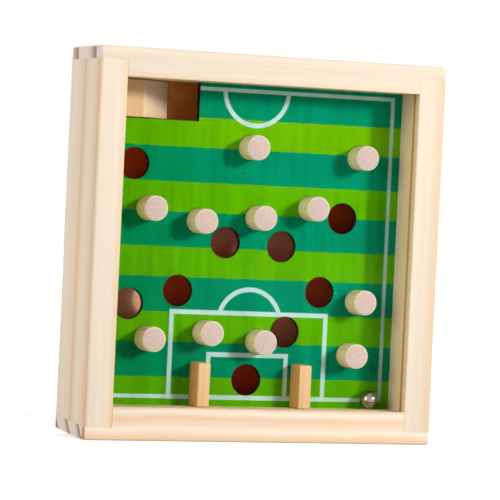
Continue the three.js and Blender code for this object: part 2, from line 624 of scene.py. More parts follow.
def arc_line_group() -> None:
    """Makes the group that draws a printed circle's outline, where its Ink is 1."""
    inputs = {"X": 0.0, "Z": 0.0, "Middle X": 0.0, "Middle Z": 0.0, "Radius": 0.01, "Line": 0.0014}
    sheet, given, out = new_group("arc line", inputs, {"Ink": "NodeSocketFloat"})
    away = [sheet.minus(given[axis], given["Middle " + axis]) for axis in "XZ"]
    off = sheet.maths("ABSOLUTE", sheet.minus(sheet.reach(*away), given["Radius"]))
    sheet.feed(out["Ink"], ink_line(sheet, off, given["Line"]))


def build_effects() -> None:
    """Builds each node group that the finishes share, once."""
    for make in (growth_rings_group, wood_fibre_group, mottle_group, box_line_group, arc_line_group):
        make()


def blank_sheet(owner: Material | bpy.types.World) -> Sheet:
    """Empties a material's or world's node tree.

    Args:
        owner: The material or world.

    Returns:
        The sheet on which its nodes are written.
    """
    owner.use_nodes = True
    owner.node_tree.nodes.clear()
    return Sheet(owner.node_tree)


def add_bump(
    sheet: Sheet, shader: Node, height: Socket, depth: float, strength: float = 1
) -> None:
    """Feeds a height to the shader's normal through a Bump node.

    Args:
        sheet: The material's sheet.
        shader: The material's shader.
        height: The height, from 0 to 1.
        depth: What a height of 1 stands for, in metres.
        strength: How much of the bump shows.
    """
    bump = sheet.add("Bump")
    sheet.fill(bump, Distance=depth, Strength=strength, Height=height)
    sheet.fill(shader, Normal=bump.outputs["Normal"])


@dataclass(frozen=True)
class Finish:
    """How a surface looks, written as the nodes of a material."""

    name: str

    def write(self, sheet: Sheet, shader: Node) -> Socket:
        """Writes the finish on its material's sheet, and gives back what the surface shows."""
        raise NotImplementedError

    def material(self) -> Material:
        """Builds the material.

        Returns:
            The material, with its nodes on a sheet of its own.
        """
        material = bpy.data.materials.new(self.name)
        sheet = blank_sheet(material)
        surface = self.write(sheet, sheet.add("BsdfPrincipled"))
        sheet.fill(sheet.add("OutputMaterial"), Surface=surface)
        return material


@dataclass(frozen=True)
class FaceBands:
    """Bands of paler and warmer wood on one face, placed by their share of the way across it.

    With beyond set, they keep to faces past that place along +Y.
    """

    facing: Axis
    sign: int
    across: Axis
    start: float
    width: float
    stops: Stops
    wave: float = 0.15 * MM
    blend: str = "MIX"
    beyond: float | None = None

    def paint(self, sheet: Sheet, colour: Socket) -> Socket:
        """Lays the bands over a colour.

        Args:
            sheet: The material's sheet.
            colour: The colour of the other faces.

        Returns:
            The colour with the bands on their face.
        """
        point = sheet.place()
        drift = sheet.minus(sheet.noise(point, 45), 0.5)
        place = sheet.scaled(drift, 4 * self.wave, sheet.split(point)[self.across.index])
        share = sheet.maths("DIVIDE", sheet.minus(place, self.start), self.width)
        ramp = sheet.add("ValToRGB")
        marks = ramp.color_ramp.elements
        while len(marks) < len(self.stops):
            marks.new(0.5)
        for mark, (position, tone) in zip(marks, self.stops):
            mark.position = position
            mark.color = tone
        sheet.feed(ramp.inputs[0], share)
        mask = sheet.step(sheet.times(sheet.facing(self.facing), self.sign), 0.5, 0.7)
        if self.beyond is not None:
            depth = sheet.split(point)[Axis.Y.index]
            mask = sheet.times(mask, sheet.step(depth, self.beyond, self.beyond + 0.2 * MM))
        return sheet.mix(mask, colour, ramp.outputs["Color"], self.blend)


@dataclass(frozen=True)
class WoodFinish(Finish):
    """Bare sanded wood with growth rings, fibres and darker end grain.

    Its tones are the early and the late wood's, first along the grain and then on the ends.
    """

    grain: Axis
    pith: tuple[float, float]
    ring_width: float
    tones: Tones
    wander: float = 2.5 * MM
    fineness: float = 1.0
    late_share: float = 0.8
    bands: tuple[FaceBands, ...] = ()
    roughness: float = 0.55
    streak_share: float = 0.16
    patch_size: float = 12 * MM
    patch_share: float = 0.3
    lowest_tone: float = 0.92
    relief: float = 0.05 * MM

    def write(self, sheet: Sheet, shader: Node) -> Socket:
        """Writes the wood.

        Args:
            sheet: The material's sheet.
            shader: Its shader.

        Returns:
            What the surface shows.
        """
        vector = sheet.grain_place(self.grain)
        rings = sheet.group("growth rings", Vector=vector, Pith_X=self.pith[0], Pith_Y=self.pith[1],
                            Ring_Width=self.ring_width, Wander=self.wander)
        fibre = sheet.group("wood fibre", Vector=vector, Fineness=self.fineness)
        patches = sheet.mottle(sheet.stretch(vector, (1, 1, 0.25)), self.patch_size)
        late = rings.outputs["Latewood"]
        fine, streak = fibre.outputs["Fibre"], fibre.outputs["Streak"]
        share = sheet.maths("ADD", sheet.times(late, self.late_share),
                            sheet.times(streak, self.streak_share), clamp=True)
        early, late_tone, end_early, end_late = self.tones
        along = sheet.mix(share, early, late_tone)
        pink = tuple(level * tint for level, tint in zip(early, PINK_TINT))
        warm = sheet.mix(sheet.times(patches, self.patch_share), along, pink)
        colour = sheet.mix(sheet.end_mask(self.grain), warm, sheet.mix(late, end_early, end_late))
        for bands in self.bands:
            colour = bands.paint(sheet, colour)
        tone = sheet.scaled(fine, 0.04, sheet.scaled(streak, 0.04, self.lowest_tone))
        sheet.fill(shader, Base_Color=sheet.shaded(colour, tone), Specular_IOR_Level=0.25,
                   Roughness=sheet.scaled(fine, 0.14, self.roughness))
        add_bump(sheet, shader, sheet.scaled(late, 0.5, fibre.outputs["Height"]), self.relief, 0.6)
        return shader.outputs[0]


@dataclass(frozen=True)
class Pitch:
    """The printed half pitch: mown bands and white lines, in metres from the frame's origin."""

    band_start: float = 19.63 * MM
    band_pitch: float = 20.79 * MM
    dark_share: float = 0.54
    line: float = 1.48 * MM
    touch_line: float = 1.25 * MM
    middle_x: float = -0.2 * MM
    goal_x: float = -0.28 * MM
    touch_half: float = 47.6 * MM
    goal_line_z: float = 13.33 * MM
    halfway_z: float = 112.2 * MM
    circle_radius: float = 11.08 * MM
    penalty_arc_radius: float = 10.9 * MM
    circle_x: float = -1.07 * MM
    penalty_half: float = 26.98 * MM
    penalty_z: float = 40.55 * MM
    penalty_arc_z: float = 37.4 * MM
    area_half: float = 13.56 * MM
    area_z: float = 27.12 * MM

    def ink(self, sheet: Sheet, x: Socket, z: Socket) -> Socket:
        """Draws all the white lines.

        Args:
            sheet: The material's sheet.
            x: The point's X.
            z: The point's Z.

        Returns:
            1 on a line and 0 off it.
        """
        boxes = (
            (self.middle_x, self.touch_half, self.goal_line_z, self.halfway_z, self.touch_line),
            (self.middle_x, self.penalty_half, self.goal_line_z, self.penalty_z, self.line),
            (self.goal_x, self.area_half, self.goal_line_z, self.area_z, self.line),
        )
        marks = []
        for middle, half, low, high, line in boxes:
            outline = sheet.group("box line", X=x, Z=z, Middle_X=middle, Middle_Z=(low + high) / 2,
                                  Half_Width=half, Half_Height=(high - low) / 2, Line=line)
            marks.append(outline.outputs["Ink"])
        arcs = (
            (self.circle_x, self.halfway_z, self.circle_radius, "LESS_THAN", self.halfway_z),
            (self.goal_x, self.penalty_arc_z, self.penalty_arc_radius, "GREATER_THAN", self.penalty_z),
        )
        for middle_x, middle_z, radius, test, limit in arcs:
            circle = sheet.group("arc line", X=x, Z=z, Middle_X=middle_x, Middle_Z=middle_z,
                                 Radius=radius, Line=self.line)
            marks.append(sheet.times(circle.outputs["Ink"], sheet.maths(test, z, limit)))
        total = marks[0]
        for mark in marks[1:]:
            total = sheet.maths("MAXIMUM", total, mark)
        return total


@dataclass(frozen=True)
class PrintFinish(Finish):
    """Ink printed straight on plywood, whose upright grain shows through."""

    name: str = "printed_plywood"
    pitch: Pitch = Pitch()
    light: Colour = srgb(92, 182, 1)
    # Painted shade: the greens on the left part of the board are darker, for the left rail's shadow.
    light_green_left_shaded: Colour = srgb(81, 168, 1)
    dark: Colour = srgb(0, 154, 115)
    dark_green_left_shaded: Colour = srgb(0, 140, 82)
    light_top: Colour = srgb(116, 191, 1)
    light_streak: Colour = srgb(108, 190, 0)
    dark_streak: Colour = srgb(0, 134, 74)
    white: Colour = srgb(206, 240, 236)
    left: float = -50 * MM
    right: float = 12 * MM
    upper: tuple[float, float] = (75 * MM, 100 * MM)
    # Painted shade: the print gets darker from 70 mm down to 10 mm, where less light reaches the lower
    # board.
    lower: tuple[float, float] = (10 * MM, 70 * MM)
    bottom_shade_tones: tuple[float, float] = (0.84, 0.96)
    # Painted shadow: the white lines are darker right of rail_shadow_from, where the right rail's shadow
    # falls.
    rail_shadow_from: tuple[float, float] = (40 * MM, 46 * MM)
    rail_shadow_ink: float = 0.78
    ragged: float = 0.25 * MM
    light_yellowing: float = 0.45
    dark_yellowing: float = 0.4
    ink_wear: float = 0.16
    patch_size: float = 6 * MM
    relief: float = 0.06 * MM

    def write(self, sheet: Sheet, shader: Node) -> Socket:
        """Writes the print.

        Args:
            sheet: The material's sheet.
            shader: Its shader.

        Returns:
            What the surface shows.
        """
        point = sheet.place()
        x, _, z = sheet.split(point)
        fibre = sheet.group("wood fibre", Vector=point, Fineness=0.7)
        fine, streak = fibre.outputs["Fibre"], fibre.outputs["Streak"]
        patches = sheet.mottle(sheet.stretch(point, (1, 1, 0.4)), self.patch_size)
        # The ink is darkened by the painted shadow of the right rail.
        ink = sheet.times(self.pitch.ink(sheet, x, z), sheet.step(x, *self.rail_shadow_from, 1, self.rail_shadow_ink))
        printed = sheet.mix(sheet.times(ink, sheet.scaled(streak, -self.ink_wear, 1)),
                            self.grass(sheet, point, streak), self.white)
        tone = sheet.plus(sheet.scaled(streak, 0.17, 0.77), sheet.times(patches, 0.13))
        # bottom_shade_tones paint shade on the lower board.
        tone = sheet.times(sheet.scaled(fine, 0.08, tone), sheet.step(z, *self.lower, *self.bottom_shade_tones))
        sheet.fill(shader, Base_Color=sheet.shaded(printed, tone), Specular_IOR_Level=0.0,
                   Roughness=sheet.scaled(fine, 0.15, 0.55))
        add_bump(sheet, shader, fibre.outputs["Height"], self.relief, 0.5)
        return shader.outputs[0]

    def grass(self, sheet: Sheet, point: Socket, streak: Socket) -> Socket:
        """Prints the mown bands.

        Args:
            sheet: The material's sheet.
            point: The point on the board.
            streak: The plywood's streaks, along which the ink runs.

        Returns:
            The green.
        """
        x, _, z = sheet.split(point)
        row = sheet.scaled(sheet.minus(streak, 0.5), self.ragged, z)
        band = sheet.maths("FRACT", sheet.maths(
            "DIVIDE", sheet.minus(row, self.pitch.band_start), self.pitch.band_pitch))
        soft = INK_BLEED / self.pitch.band_pitch
        share = self.pitch.dark_share
        dark = sheet.times(sheet.step(band, 0, 2 * soft), sheet.step(band, share - soft, share + soft, 1, 0))
        # toward_right fades the painted shade of the left rail out toward the right; it also limits the
        # yellower top greens.
        toward_right = sheet.step(x, self.left, self.right)
        toward_top = sheet.times(toward_right, sheet.step(z, *self.upper))
        yellowing = sheet.group("wood fibre", Vector=point, Fineness=1.1).outputs["Streak"]
        light = sheet.mix(toward_top, sheet.mix(toward_right, self.light_green_left_shaded, self.light), self.light_top)
        light = sheet.mix(sheet.times(yellowing, self.light_yellowing), light, self.light_streak)
        deep = sheet.mix(toward_right, self.dark_green_left_shaded, self.dark)
        deep = sheet.mix(sheet.times(yellowing, self.dark_yellowing), deep, self.dark_streak)
        return sheet.mix(dark, light, deep)


@dataclass(frozen=True)
class CutEdgeFinish(Finish):
    """The board's sawn and scorched edges, with the plies just showing."""

    name: str = "scorched_edge"
    ply: float = 1 * MM
    dark: Colour = srgb(30, 16, 8)
    light: Colour = srgb(62, 36, 18)
    patch_size: float = 1.5 * MM
    relief: float = 0.05 * MM

    def write(self, sheet: Sheet, shader: Node) -> Socket:
        """Writes the edge, with its plies stacked along Y.

        Args:
            sheet: The material's sheet.
            shader: Its shader.

        Returns:
            What the surface shows.
        """
        point = sheet.place()
        plies = sheet.maths("PINGPONG", sheet.split(point)[Axis.Y.index], self.ply)
        layer = sheet.step(plies, 0.35 * self.ply, 0.65 * self.ply)
        soot = sheet.mottle(point, self.patch_size)
        share = sheet.times(layer, sheet.scaled(soot, 0.6, 0.2))
        sheet.fill(shader, Base_Color=sheet.mix(share, self.dark, self.light), Specular_IOR_Level=0.1,
                   Roughness=sheet.scaled(soot, 0.1, 0.78))
        add_bump(sheet, shader, soot, self.relief, 0.6)
        return shader.outputs[0]


@dataclass(frozen=True)
class HardboardFinish(Finish):
    """Brown hardboard: pressed smooth on its face and printed with a wire mesh on its back."""

    screen_back: bool
    deep: Colour = srgb(224, 76, 12)
    pale: Colour = srgb(236, 96, 22)
    # Painted light and sheen: the panel's corner under the notch is browner and paler, where more light
    # reaches it.
    notch_lit_deep: Colour = srgb(196, 118, 42)
    notch_lit_pale: Colour = srgb(218, 142, 68)
    back_deep: Colour = srgb(132, 88, 58)
    back_pale: Colour = srgb(160, 112, 78)
    # Painted light: paler patches on the face below some of the holes, for light falling through them.
    painted_light_tone: Colour = srgb(246, 194, 150)
    painted_light_places: tuple[tuple[float, float, float], ...] = (
        (-37.5, 43, 1.0), (-5.8, 62, 0.7), (13.8, 62.6, 0.75), (16.4, 35, 0.65),
    )
    painted_light_radius: float = 8 * MM
    patch_size: float = 4 * MM
    specks_per_metre: float = 2600
    notch_lit_above: float = 99 * MM
    notch_lit_left_of: float = -19 * MM
    notch_lit_blend: float = 3 * MM
    mesh_pitch: float = 1.1 * MM
    mesh_relief: float = 0.16 * MM
    face_relief: float = 0.01 * MM

    def write(self, sheet: Sheet, shader: Node) -> Socket:
        """Writes the face or the back.

        Args:
            sheet: The material's sheet.
            shader: Its shader.

        Returns:
            What the surface shows.
        """
        point = sheet.place()
        patches = sheet.mottle(point, self.patch_size)
        specks = sheet.step(sheet.noise(point, self.specks_per_metre), 0.35, 0.65)
        share = sheet.maths("ADD", sheet.times(patches, 0.6), sheet.times(specks, 0.35), clamp=True)
        x, _, z = sheet.split(point)
        if self.screen_back:
            step = math.pi / self.mesh_pitch
            wires = [sheet.maths("ABSOLUTE", sheet.maths("SINE", sheet.times(line, step)))
                     for line in (x, z)]
            weave = sheet.times(*wires)
            plain = sheet.mix(share, self.back_deep, self.back_pale)
            colour = sheet.mix(sheet.scaled(weave, -0.45, 0.45), plain, self.back_deep)
            rough = sheet.scaled(specks, 0.08, 0.8)
            add_bump(sheet, shader, sheet.scaled(specks, 0.3, weave), self.mesh_relief)
        else:
            # corner is the panel's part under the notch, painted with light and sheen.
            corner = sheet.times(sheet.step(z, self.notch_lit_above, self.notch_lit_above + self.notch_lit_blend),
                                 sheet.step(x, self.notch_lit_left_of, self.notch_lit_left_of + self.notch_lit_blend, 1, 0))
            colour = sheet.mix(share, sheet.mix(corner, self.deep, self.notch_lit_deep),
                               sheet.mix(corner, self.pale, self.notch_lit_pale))
            # Pale patches of painted light below some of the holes.
            colour = sheet.mix(self.painted_light_pools(sheet, x, z), colour, self.painted_light_tone)
            rough = sheet.scaled(patches, 0.1, 0.3)
            add_bump(sheet, shader, specks, self.face_relief, 0.4)
        sheet.fill(shader, Base_Color=colour, Roughness=rough, Specular_IOR_Level=0.06)
        return shader.outputs[0]

    def painted_light_pools(self, sheet: Sheet, x: Socket, z: Socket) -> Socket:
        """Finds the painted pools of light on the face below some of the holes.

        Args:
            sheet: The material's sheet.
            x: The point's X.
            z: The point's Z.

        Returns:
            0 where no light is painted, up to each place's own share.
        """
        total: object = 0.0
        for middle_x, middle_z, share in self.painted_light_places:
            reach = sheet.reach(sheet.minus(x, middle_x * MM), sheet.minus(z, middle_z * MM))
            patch = sheet.step(reach, 0.6 * self.painted_light_radius, self.painted_light_radius, share, 0)
            total = sheet.maths("MAXIMUM", total, patch)
        return total


@dataclass(frozen=True)
class AcrylicFinish(Finish):
    """Clear acrylic with a faint film of handling marks and a few specks of dust."""

    name: str = "clear_acrylic"
    index: float = 1.49
    glare: float = 0.012
    patch_size: float = 15 * MM
    dust_per_metre: float = 900

    def write(self, sheet: Sheet, shader: Node) -> Socket:
        """Writes the window, which lets light and shadow through as they are.

        Args:
            sheet: The material's sheet.
            shader: Its shader.

        Returns:
            What the surface shows.
        """
        point = sheet.place()
        film = sheet.mottle(point, self.patch_size)
        dust = sheet.step(sheet.noise(point, self.dust_per_metre, 1), 0.8, 0.86)
        sheet.fill(shader, Roughness=sheet.scaled(film, 0.02, sheet.times(dust, 0.4)), Base_Color=WHITE,
                   IOR=self.index, Transmission_Weight=1.0, Specular_Tint=(*[self.glare] * 3, 1.0))
        clear = sheet.add("BsdfTransparent")
        ray = sheet.add("LightPath")
        lighting = sheet.maths("MAXIMUM", ray.outputs["Is Shadow Ray"], ray.outputs["Is Diffuse Ray"])
        choice = sheet.add("MixShader")
        for socket, value in zip(choice.inputs, (lighting, shader.outputs[0], clear.outputs[0])):
            sheet.feed(socket, value)
        return choice.outputs[0]


@dataclass(frozen=True)
class SteelFinish(Finish):
    """A polished steel ball with fine rolling scratches."""

    name: str = "polished_steel"
    bright: Colour = srgb(172, 160, 150)
    dull: Colour = srgb(132, 122, 114)
    patch_size: float = 1.2 * MM

    def write(self, sheet: Sheet, shader: Node) -> Socket:
        """Writes the steel.

        Args:
            sheet: The material's sheet.
            shader: Its shader.

        Returns:
            What the surface shows.
        """
        point = sheet.place()
        film = sheet.mottle(point, self.patch_size)
        scratch = sheet.step(sheet.noise(sheet.stretch(point, (9000, 900, 9000)), 1), 0.6, 0.7)
        sheet.fill(shader, Base_Color=sheet.mix(film, self.bright, self.dull), Metallic=1.0,
                   Roughness=sheet.scaled(scratch, 0.08, sheet.scaled(film, 0.04, 0.06)))
        return shader.outputs[0]


PINE = (srgb(248, 231, 210), srgb(238, 202, 160), srgb(244, 225, 214), srgb(168, 132, 112))
PALE_WOOD = srgb(254, 235, 212)
CREAM_WOOD = srgb(247, 229, 206)
HONEY_WOOD = srgb(246, 219, 188)
BAND_WOOD = srgb(243, 209, 172)
LINE_WOOD = srgb(230, 199, 165)
# WARM_PAINTED_LIGHT is wood tinted by painted warm light.
WARM_PAINTED_LIGHT = srgb(251, 214, 160)
RESIN_LINE = srgb(208, 158, 88)

TOP_FRONT = ((0.0, HONEY_WOOD), (0.25, CREAM_WOOD), (0.85, CREAM_WOOD), (1.0, PALE_WOOD))
BOTTOM_FRONT = (
    (0.0, LINE_WOOD), (0.08, PALE_WOOD), (0.16, PALE_WOOD), (0.3, BAND_WOOD), (0.66, PALE_WOOD),
    (0.88, BAND_WOOD),
)
# The left rail's front starts at its inner edge with a painted yellow glow.
LEFT_FRONT = (
    (0.0, WARM_PAINTED_LIGHT), (0.1, HONEY_WOOD), (0.25, CREAM_WOOD), (0.85, CREAM_WOOD), (1.0, LINE_WOOD),
)
LEFT_SIDE = (
    (0.0, LINE_WOOD), (0.15, HONEY_WOOD), (0.3, CREAM_WOOD), (0.42, HONEY_WOOD), (0.5, LINE_WOOD),
    (0.57, HONEY_WOOD), (0.8, CREAM_WOOD),
)
RIGHT_FRONT = ((0.0, PALE_WOOD), (0.5, CREAM_WOOD), (1.0, BAND_WOOD))
# Painted light along each rail's inner face, front to board: pale at the front edge, warm bounce light
# deeper in, and a brown line at the window's groove.
INNER_DEPTH_PAINTED_LIGHT = (
    (0.0, PALE_WOOD), (0.185, WARM_PAINTED_LIGHT), (0.22, RESIN_LINE), (0.28, WARM_PAINTED_LIGHT), (0.8, HONEY_WOOD),
)
GROOVE_SHADE = ((0.0, srgb(240, 206, 154)), (1.0, srgb(240, 206, 154)))
# Painted reflection: the bottom rail's inner face turns green toward the board, for the print's green light
# bouncing onto it.
PAINTED_GREEN_REFLECTION = ((0.35, WHITE), (0.75, srgb(224, 250, 198)), (1.0, srgb(218, 250, 190)))
BURNT_ARRIS = ((0.0, srgb(206, 158, 128)), (0.04, srgb(218, 174, 146)), (0.09, WHITE))


@dataclass
class Rail:
    """One rail of the frame: grooved for the sheets, rebated at the back and sanded outside."""

    node: str
    side: Side
    pith: tuple[float, float]
    ring_width: float
    front: Stops
    outer: Stops = ()
    wave: float = 0.15 * MM
    outer_radius: float = 0.8 * MM
    inner_radius: float = 0.25 * MM
    groove_depth: float = 3 * MM
    slip: float = 0.03 * MM
    rebate_width: float = 4 * MM
    sand_break: float = 0.05 * MM
    hairline: float = 0.01 * MM
    corner_rise: float = 1.9 * MM
    corner_run: float = 30 * MM
    groove_shade_from: float = 0.8 * MM

    @property
    def crosses(self) -> bool:
        """Whether the rail runs across, with laps over the side rails."""
        return self.side in (Side.TOP, Side.BOTTOM)

    def block_out(self) -> Piece:
        """Adds the rail's block, rounds its edges and slants the lower left corner.

        Returns:
            The block.
        """
        low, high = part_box(self.node)
        block = add_block(self.node + "_block", low, high)
        axis, sign = self.side.value
        index = axis.index
        inner, outer = (low[index], high[index]) if sign > 0 else (high[index], low[index])
        along = 2 - index

        def is_outer(a: Vector, b: Vector) -> bool:
            """Finds the edges that are sanded round outside.

            Args:
                a: One end of the edge.
                b: Its other end.

            Returns:
                Whether the edge is one of them.
            """
            if same(a[index], outer) and same(b[index], outer):
                return self.crosses or not same(a[along], b[along])
            return self.crosses and not same(a[index], b[index])

        def is_inner_front(a: Vector, b: Vector) -> bool:
            """Whether an edge is the one between the front and the inner face."""
            return all(same(end[index], inner) and same(end.y, low.y) for end in (a, b))

        round_edges(block, is_outer, self.outer_radius, steps=6)
        round_edges(block, is_inner_front, self.inner_radius, steps=4)
        if self.side is Side.BOTTOM:
            slice_off(block, low, self.lap_slope() - Vector((self.corner_rise / self.corner_run, 0, 0)))
        if self.side is Side.LEFT:
            slice_off(block, low, self.lap_slope())
        return block

    def lap_slope(self) -> Vector:
        """The downward normal of the lower left lap, which rises toward the back."""
        low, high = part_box(self.node)
        return Vector((0, self.corner_rise / (high.y - low.y), -1))

    def slot_between(self, near_y: float, far_y: float, depth: float) -> Piece:
        """Makes the cutter of a groove in the rail's inner face.

        Args:
            near_y: Where the groove starts behind the front.
            far_y: Where it ends.
            depth: How deep it goes into the rail.

        Returns:
            The cutter.
        """
        low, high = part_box(self.node)
        axis, sign = self.side.value
        start, end = low - Vector((OVERCUT,) * 3), high + Vector((OVERCUT,) * 3)
        start.y, end.y = near_y, far_y
        if sign > 0:
            end[axis.index] = low[axis.index] + depth
        else:
            start[axis.index] = high[axis.index] - depth
        return add_block("cutter", start, end)

    def cut_grooves(self, rail: Piece) -> None:
        """Cuts the window's and board's grooves and the back panel's rebate.

        Args:
            rail: The rail's block.
        """
        for node in ("window", "play_board"):
            low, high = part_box(node)
            cut_away(rail, self.slot_between(low.y - self.slip, high.y + self.slip, self.groove_depth))
        panel_low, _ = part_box("back_panel")
        _, rail_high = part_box(self.node)
        behind = rail_high.y + OVERCUT
        cut_away(rail, self.slot_between(panel_low.y - self.slip, behind, self.rebate_width))

    def cut_laps(self, rail: Piece) -> None:
        """Cuts a cross rail's ends down to the laps that cover the side rails.

        Args:
            rail: The rail's block.
        """
        low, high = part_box(self.node)
        right_low, right_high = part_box("rail_right")
        _, left_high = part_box("rail_left")
        gap = self.hairline
        if self.side is Side.TOP:
            start_z, end_z = low.z - OVERCUT, right_high.z + gap
        else:
            start_z, end_z = right_low.z - gap, high.z + OVERCUT
        for start_x, end_x in ((low.x - OVERCUT, left_high.x + gap), (right_low.x - gap, high.x + OVERCUT)):
            cutter = add_block("cutter", Vector((start_x, low.y - OVERCUT, start_z)),
                               Vector((end_x, high.y + OVERCUT, end_z)))
            if self.side is Side.BOTTOM and start_x < 0:
                slice_off(cutter, Vector((low.x, low.y, start_z)), self.lap_slope())
            cut_away(rail, cutter)

    def face_bands(self) -> tuple[FaceBands, ...]:
        """Places the bands of the front, the inner face and, where it has some, the outer faces.

        Returns:
            The bands, in the order in which they are laid.
        """
        low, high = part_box(self.node)
        axis, sign = self.side.value
        width = high[axis.index] - low[axis.index]
        inner = (low if sign > 0 else high)[axis.index]
        front = (Axis.Y, -1, axis, inner, sign * width)
        through = high.y - low.y
        to_board = (axis, -sign, Axis.Y, low.y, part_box("play_board")[0].y - low.y)
        bands = [
            FaceBands(*front, self.front, self.wave),
            # The inner faces get painted light: paler at the front, warmer deeper in.
            FaceBands(*to_board, INNER_DEPTH_PAINTED_LIGHT),
            FaceBands(*front, GROOVE_SHADE, blend="MULTIPLY", beyond=low.y + self.groove_shade_from),
        ]
        if self.outer:
            bands.append(FaceBands(axis, sign, Axis.Y, low.y, through, self.outer))
        if self.side is Side.BOTTOM:
            # The bottom rail's inner face gets the painted green reflection of the board.
            bands.append(FaceBands(*to_board, PAINTED_GREEN_REFLECTION, blend="MULTIPLY"))
            bands.append(FaceBands(Axis.X, -1, Axis.Y, low.y, through, BURNT_ARRIS, blend="MULTIPLY"))
        return tuple(bands)

    def build(self) -> None:
        """Models the rail and dresses it in pine."""
        rail = self.block_out()
        self.cut_grooves(rail)
        if self.crosses:
            self.cut_laps(rail)
        ease_corners(rail, self.sand_break)
        keep_inside(rail, *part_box(self.node))
        shade(rail)
        grain = Axis.X if self.crosses else Axis.Z
        wood = WoodFinish("pine_" + self.node, grain, self.pith, self.ring_width, PINE,
                          bands=self.face_bands())
        fit(rail, self.node, [wood.material()])


@dataclass
class Frame:
    """The four rails, glued at lapped corners."""

    top_radius: float = 1.1 * MM
    sill_radius: float = 1.3 * MM
    sill_wave: float = 0.4 * MM

    def build(self) -> None:
        """Builds the rails, each cut from its own stretch of timber."""
        rails = (
            Rail("rail_top", Side.TOP, (70 * MM, 112 * MM), 16 * MM, TOP_FRONT,
                 outer_radius=self.top_radius),
            Rail("rail_bottom", Side.BOTTOM, (84.9 * MM, -63 * MM), 8.3 * MM, BOTTOM_FRONT,
                 wave=self.sill_wave, inner_radius=self.sill_radius),
            Rail("rail_left", Side.LEFT, (-119.9 * MM, 47.9 * MM), 7.1 * MM, LEFT_FRONT, LEFT_SIDE),
            Rail("rail_right", Side.RIGHT, (96 * MM, 64 * MM), 5.6 * MM, RIGHT_FRONT),
        )
        for rail in rails:
            rail.build()


@dataclass
class PlayBoard:
    """The printed board: nine ball holes, a notch and a socket for each peg."""

    notch_right: float = -21 * MM
    notch_bottom: float = 101.6 * MM
    hole_radius: float = 5 * MM
    hole_places: tuple[tuple[float, float], ...] = (
        (31.03, 72.49), (-9.79, 63.18), (9.84, 62.56), (-25.55, 47.24), (24.13, 48.17),
        (-42.28, 87.19), (-42.23, 42.69), (-0.4, 19.19), (12.38, 34.92),
    )
    socket_gap: float = 0.05 * MM
    rim_break: float = 0.12 * MM
    back: Tones = (srgb(222, 196, 158), srgb(200, 164, 118), srgb(190, 150, 110), srgb(150, 110, 80))
    back_pith: tuple[float, float] = (0.3, 0.4)
    back_ring_width: float = 11 * MM

    def holes(self, low: Vector, high: Vector) -> Piece:
        """Makes one cutter for all the ball holes and peg sockets.

        Args:
            low: The board's lowest corner.
            high: The board's highest corner.

        Returns:
            The cutter.
        """
        middle_y = (low.y + high.y) / 2
        through = 3 * (high.y - low.y)
        rods = [
            add_rod("cutter", Vector((x * MM, middle_y, z * MM)), self.hole_radius, through, 96)
            for x, z in self.hole_places
        ]
        for node in PEG_NODES:
            peg_low, peg_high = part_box(node)
            centre = (peg_low + peg_high) / 2
            centre.y = middle_y
            radius = (peg_high.z - peg_low.z) / 2 + self.socket_gap
            rods.append(add_rod("cutter", centre, radius, through, 64))
        return join(rods)

    def build(self) -> None:
        """Models the board and prints its front."""
        low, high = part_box("play_board")
        board = add_block("board", low, high)
        notch = add_block("cutter", Vector((low.x - OVERCUT, low.y - OVERCUT, self.notch_bottom)),
                          Vector((self.notch_right, high.y + OVERCUT, high.z + OVERCUT)))
        cut_away(board, notch)
        cut_away(board, self.holes(low, high))
        ease_corners(board, self.rim_break, 1, 60)
        number_faces(board, lambda normal: 1 + (normal.y > FLAT_ON) - (normal.y < -FLAT_ON))
        shade(board)
        bare = WoodFinish("birch_ply_back", Axis.Z, self.back_pith, self.back_ring_width, self.back)
        finishes = (PrintFinish(), CutEdgeFinish(), bare)
        fit(board, "play_board", [finish.material() for finish in finishes])


@dataclass
class Team:
    """The eleven dowel pegs, each a little different in its wood."""

    rim: float = 0.55 * MM
    rim_normals: tuple[float, float] = (-0.2, -0.97)
    rim_late_share: float = 0.45
    late_share: float = 0.32
    sides: int = 64
    ring_width: float = 1.7 * MM
    wander: float = 1.2 * MM
    fineness: float = 1.6
    pith_reach: float = 22 * MM
    pith_turn: float = 2.4
    wood: Tones = (srgb(246, 229, 178), srgb(224, 200, 142), srgb(219, 194, 182), srgb(213, 186, 172))
    rim_wood: Tones = (srgb(255, 241, 214), srgb(250, 230, 196)) * 2

    def peg(self, node: str) -> Piece:
        """Models one peg, with its front rim rounded and numbered as the second material.

        Args:
            node: The peg's CAD node.

        Returns:
            The peg.
        """
        low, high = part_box(node)
        radius = (high.z - low.z) / 2
        peg = add_rod(node + "_dowel", (low + high) / 2, radius, high.y - low.y, self.sides)
        round_edges(peg, lambda a, b: same(a.y, low.y) and same(b.y, low.y), self.rim, steps=4)
        steepest, flattest = self.rim_normals
        number_faces(peg, lambda normal: int(flattest < normal.y < steepest))
        shade(peg, 50)
        return peg

    def build(self) -> None:
        """Builds all the pegs."""
        rim = WoodFinish("dowel_rim", Axis.X, (10 * MM, 50 * MM), self.ring_width, self.rim_wood,
                         self.wander, self.fineness, self.rim_late_share).material()
        for count, node in enumerate(PEG_NODES):
            low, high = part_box(node)
            centre = (low + high) / 2
            turn = self.pith_turn * count
            pith = (centre.x + self.pith_reach * math.cos(turn), centre.z + self.pith_reach * math.sin(turn))
            wood = WoodFinish("dowel_" + node, Axis.Y, pith, self.ring_width, self.wood,
                              self.wander, self.fineness, self.late_share)
            fit(self.peg(node), node, [wood.material(), rim])


